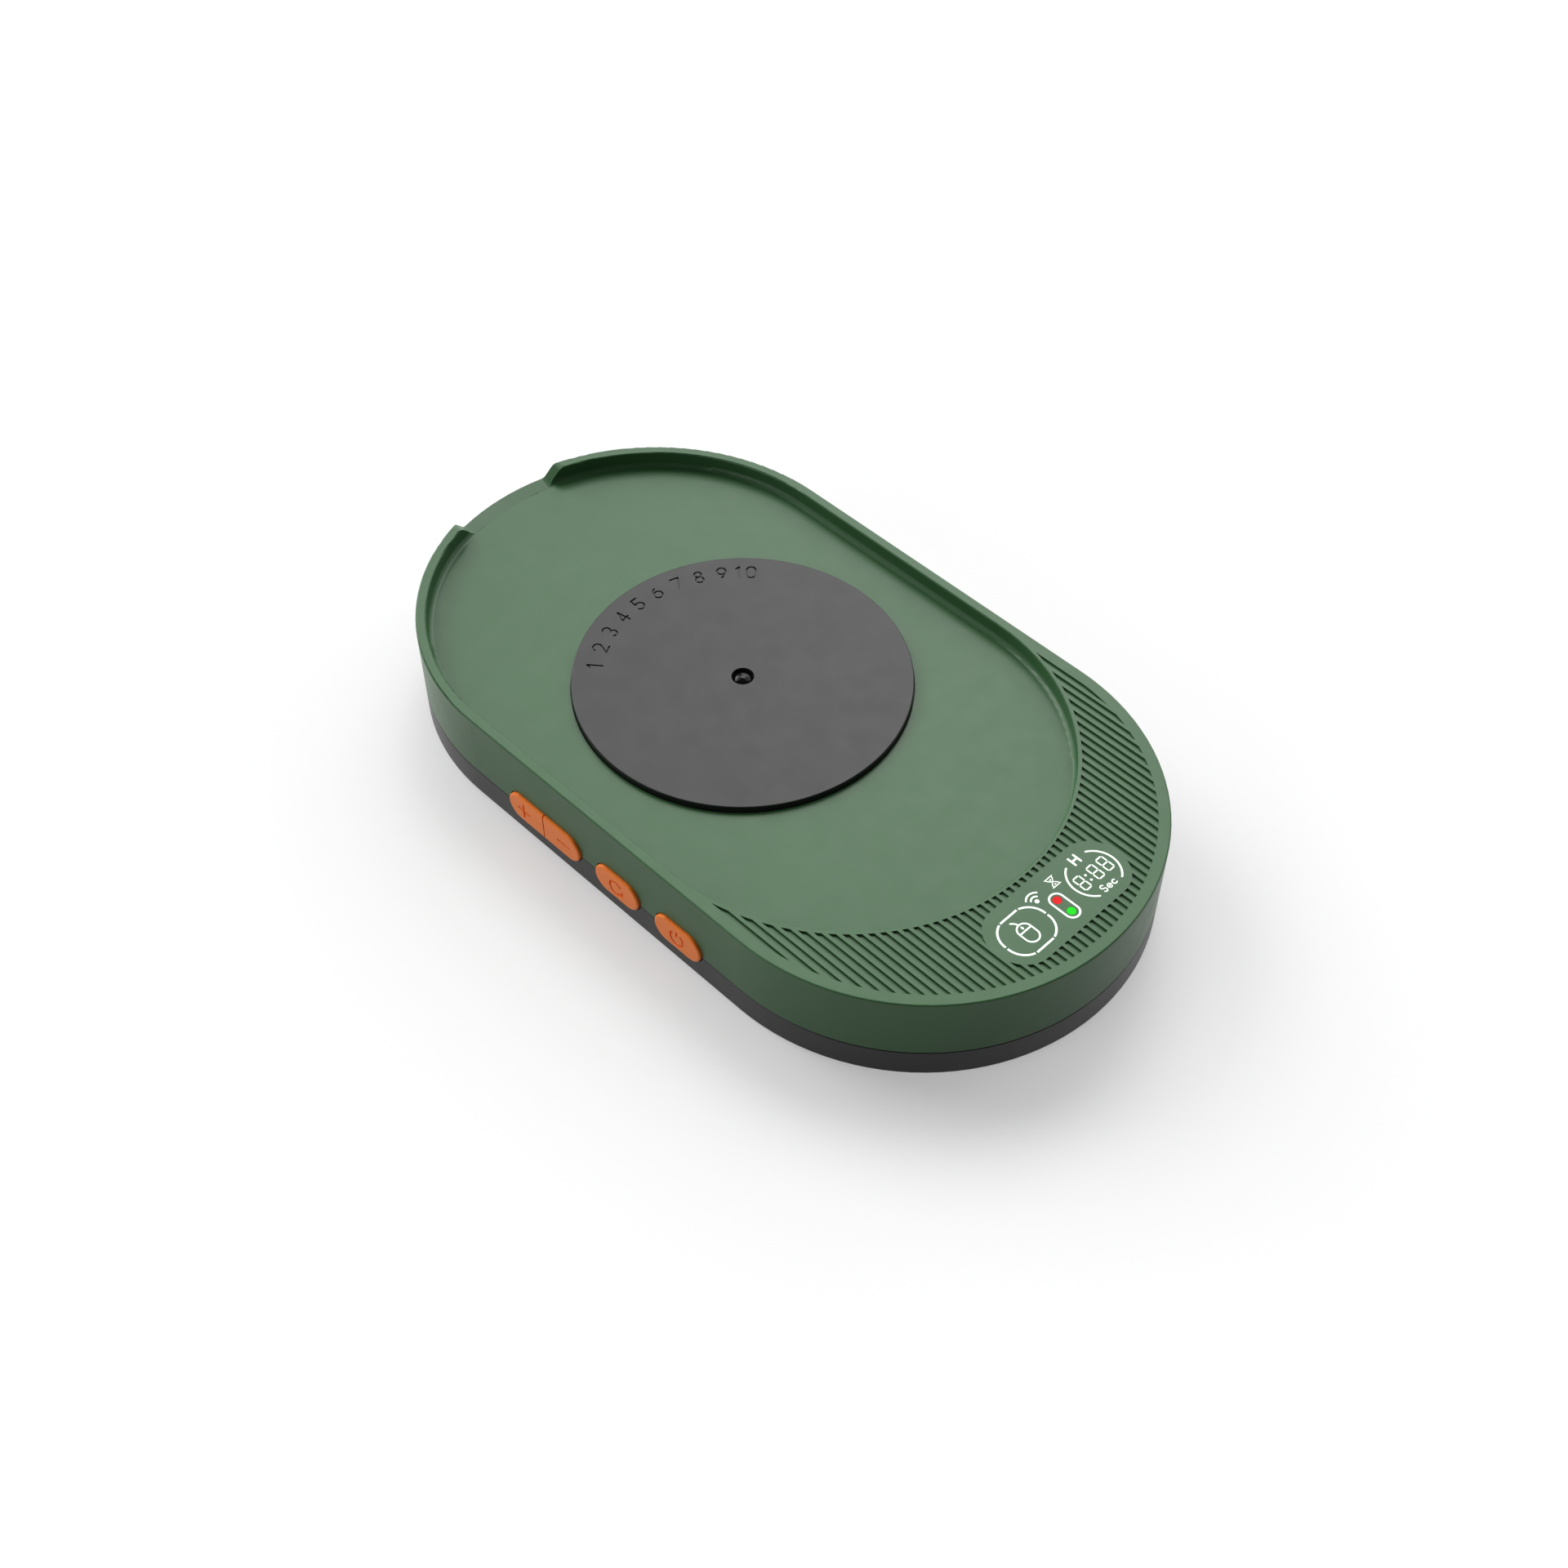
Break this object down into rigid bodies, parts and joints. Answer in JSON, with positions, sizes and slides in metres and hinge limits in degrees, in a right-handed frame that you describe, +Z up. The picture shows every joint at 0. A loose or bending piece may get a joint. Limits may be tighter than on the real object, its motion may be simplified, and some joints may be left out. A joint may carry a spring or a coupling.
{
  "type": "mouse jiggler",
  "caption": "Flat pill-shaped tray that a computer mouse rests in, with a driven turntable in its floor, push keys on one side and a lit display on its front deck.",
  "frame": {"origin": "middle of the outline, on the surface that the rubber feet stand on", "axes": "+Z up, +Y towards the cable notch at the back, -Y towards the display, +X to the user's right, keys on the -X side"},
  "size_m": [0.087, 0.1552, 0.0198],
  "materials": {
    "shell_green": "moulded ABS, satin",
    "base_dark": "moulded ABS, satin",
    "disc_dark": "moulded ABS, fine matt",
    "key_orange": "moulded ABS, satin",
    "foot_rubber": "matt",
    "screw_steel": "zinc plated",
    "screw_black": "black oxide, glossy",
    "axle_steel": "ground",
    "gear_nylon": "moulded acetal",
    "bush_bronze": "sintered bronze",
    "pinion_brass": "hobbed",
    "motor_steel": "drawn, plated",
    "motor_copper": "enamelled copper winding",
    "magnet_dark": "ferrite",
    "board_green": "solder mask",
    "chip_black": "moulded epoxy",
    "connector_white": "moulded nylon",
    "socket_steel": "nickel plated",
    "battery_foil": "laminated pouch",
    "led_white": "clear package",
    "shroud_black": "light-tight ABS",
    "lens_red": "clear acrylic rod, lit red",
    "lens_green": "clear acrylic rod, lit green",
    "switch_black": "moulded nylon",
    "wire_pvc": "flexible PVC insulation",
    "ribbon_film": "polyester film"
  },
  "bodies": {
    "casing": {"upper_housing": "shell_green", "lower_housing": "base_dark", "housing_screws": "screw_steel", "rubber_feet": "foot_rubber", "turntable_axle": "axle_steel", "thrust_washer": "bush_bronze", "reduction_axle": "axle_steel", "motor_can": "motor_steel", "motor_cap": "motor_steel", "motor_coil": "motor_copper", "motor_bracket": "motor_steel", "motor_bracket_screws": "screw_steel", "key_switches": "switch_black", "key_board": "board_green", "main_board": "board_green", "main_board_screws": "screw_steel", "usb_socket_shell": "socket_steel", "usb_socket_tongue": "chip_black", "controller_chip": "chip_black", "board_components": "chip_black", "board_connectors": "connector_white", "battery_cell": "battery_foil", "display_board": "board_green", "display_board_screws": "screw_steel", "light_shroud": "shroud_black", "display_leds": "led_white", "indicator_leds": "led_white", "red_lamp_lens": "lens_red", "green_lamp_lens": "lens_green", "motor_leads": "wire_pvc", "key_leads": "wire_pvc", "battery_leads": "wire_pvc", "display_ribbon": "ribbon_film"},
    "turntable": {"turntable_disc": "disc_dark", "turntable_gear": "gear_nylon", "hub_bush": "bush_bronze", "hub_screw": "screw_black"},
    "reduction": {"reduction_gear": "gear_nylon"},
    "rotor": {"motor_shaft": "axle_steel", "motor_pinion": "pinion_brass", "motor_magnet": "magnet_dark"},
    "plus_button": {"plus_key": "key_orange", "plus_plunger": "connector_white"},
    "minus_button": {"minus_key": "key_orange", "minus_plunger": "connector_white"},
    "mode_button": {"mode_key": "key_orange", "mode_plunger": "connector_white"},
    "power_button": {"power_key": "key_orange", "power_plunger": "connector_white"}
  },
  "joints": [
    {"name": "turntable_spin", "type": "hinge", "parent": "casing", "child": "turntable", "pos_m": [0, 0.00912, 0], "axis": [0, 0, 1], "continuous": true},
    {"name": "reduction_spin", "type": "hinge", "parent": "casing", "child": "reduction", "pos_m": [0, -0.01568, 0], "axis": [0, 0, 1], "continuous": true},
    {"name": "motor_spin", "type": "hinge", "parent": "casing", "child": "rotor", "pos_m": [0, -0.03488, 0], "axis": [0, 0, 1], "continuous": true},
    {"name": "plus_key_press", "type": "slide", "parent": "casing", "child": "plus_button", "axis": [1, 0, 0], "range_m": [0, 0.0004], "stiffness_N_per_m": 800, "springref_m": -0.0005},
    {"name": "minus_key_press", "type": "slide", "parent": "casing", "child": "minus_button", "axis": [1, 0, 0], "range_m": [0, 0.0004], "stiffness_N_per_m": 800, "springref_m": -0.0005},
    {"name": "mode_key_press", "type": "slide", "parent": "casing", "child": "mode_button", "axis": [1, 0, 0], "range_m": [0, 0.0004], "stiffness_N_per_m": 800, "springref_m": -0.0005},
    {"name": "power_key_press", "type": "slide", "parent": "casing", "child": "power_button", "axis": [1, 0, 0], "range_m": [0, 0.0004], "stiffness_N_per_m": 800, "springref_m": -0.0005}
  ],
  "couplings": [
    {"joint": "reduction_spin", "follows": "turntable_spin", "ratio": -4.1667},
    {"joint": "motor_spin", "follows": "turntable_spin", "ratio": 12.5}
  ]
}
